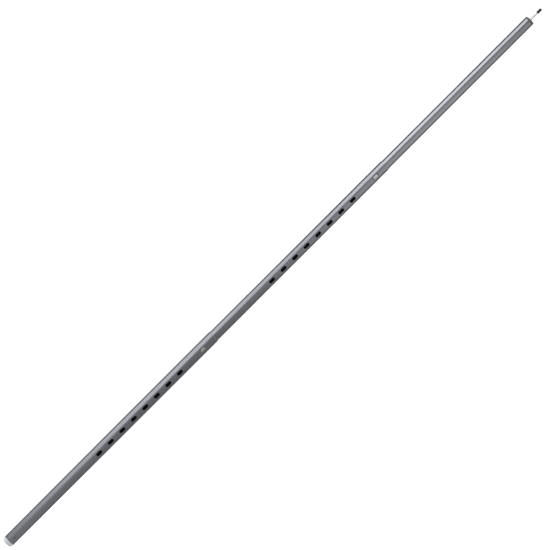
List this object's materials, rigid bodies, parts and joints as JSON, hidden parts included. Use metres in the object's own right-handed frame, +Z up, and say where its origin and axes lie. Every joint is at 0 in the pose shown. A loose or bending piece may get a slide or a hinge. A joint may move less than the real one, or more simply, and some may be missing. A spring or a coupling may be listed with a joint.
{
  "type": "telescopic support pole",
  "caption": "Telescopic aluminium support pole in three sections, with snap buttons, rows of oblong height holes, a capped spike at the top and a domed foot.",
  "frame": {"origin": "middle of the foot's flat underside, on the pole's axis", "axes": "+Z up along the pole, from foot to spike; the holes and buttons face -Y; +X to the right when they are seen from the front"},
  "size_m": [0.025, 0.0266, 1.5354],
  "materials": {
    "tube_lower": "satin anodised, dark grey",
    "tube_middle": "satin anodised, dark grey",
    "tube_upper": "satin anodised, grey",
    "foot_plastic": "milky translucent moulding",
    "glide_plastic": "moulded nylon",
    "spring_steel": "bright spring steel",
    "plug_plastic": "fine moulded",
    "spike_steel": "bright plated",
    "cap_rubber": "soft matt"
  },
  "bodies": {
    "lower_section": {"lower_tube": "tube_lower", "foot_plug": "foot_plastic"},
    "middle_section": {"middle_tube": "tube_middle", "middle_glide": "glide_plastic"},
    "middle_button": {"middle_clip": "spring_steel"},
    "upper_section": {"upper_tube": "tube_upper", "upper_glide": "glide_plastic", "top_plug": "plug_plastic", "tip_spike": "spike_steel"},
    "upper_button": {"upper_clip": "spring_steel"},
    "cap": {"tip_cap": "cap_rubber"}
  },
  "joints": [
    {"name": "middle_slide", "type": "slide", "parent": "lower_section", "child": "middle_section", "axis": [0, 0, 1], "range_m": [-0.297, 0]},
    {"name": "upper_slide", "type": "slide", "parent": "middle_section", "child": "upper_section", "axis": [0, 0, 1], "range_m": [-0.297, 0]},
    {"name": "middle_button_press", "type": "slide", "parent": "middle_section", "child": "middle_button", "axis": [0, 1, 0], "range_m": [0, 0.003], "stiffness_N_per_m": 3000, "springref_m": -0.002, "deforming": ["middle_clip"]},
    {"name": "upper_button_press", "type": "slide", "parent": "upper_section", "child": "upper_button", "axis": [0, 1, 0], "range_m": [0, 0.003], "stiffness_N_per_m": 3000, "springref_m": -0.002, "deforming": ["upper_clip"]},
    {"name": "tip_cap_pull", "type": "slide", "parent": "upper_section", "child": "cap", "axis": [0, 0, 1], "range_m": [0, 0.025]}
  ]
}
